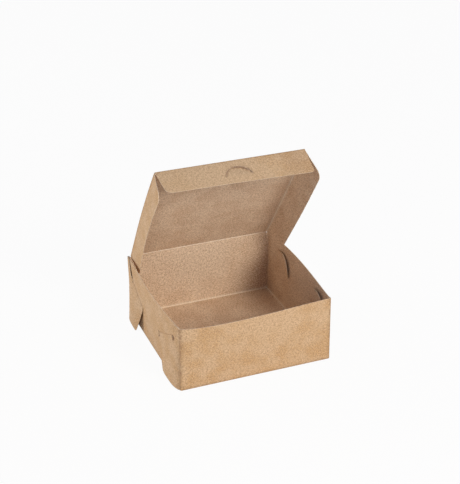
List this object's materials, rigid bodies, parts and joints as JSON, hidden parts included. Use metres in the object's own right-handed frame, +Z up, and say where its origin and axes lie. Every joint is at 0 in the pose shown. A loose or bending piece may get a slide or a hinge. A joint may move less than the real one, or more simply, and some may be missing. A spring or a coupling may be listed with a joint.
{
  "type": "pastry box",
  "caption": "Square kraft-board pastry box, cut and folded from one sheet: tray with hooked corner locks and a hinged lid with side flaps and a front tuck flap.",
  "frame": {"origin": "centre of the tray's floor, at the surface it stands on", "axes": "+Z up, front wall (opposite the lid's hinge) at -Y, hinge along X at the rear wall's top"},
  "size_m": [0.2314, 0.2298, 0.2917],
  "materials": {
    "kraft_board": "matte"
  },
  "bodies": {
    "tray": {"tray": "kraft_board"},
    "lid": {"lid": "kraft_board"}
  },
  "joints": [
    {"name": "lid_hinge", "type": "hinge", "parent": "tray", "child": "lid", "pos_m": [0, 0.1146, 0.1022], "axis": [-1, 0, 0], "range_deg": [-56.1, 123.9]}
  ]
}
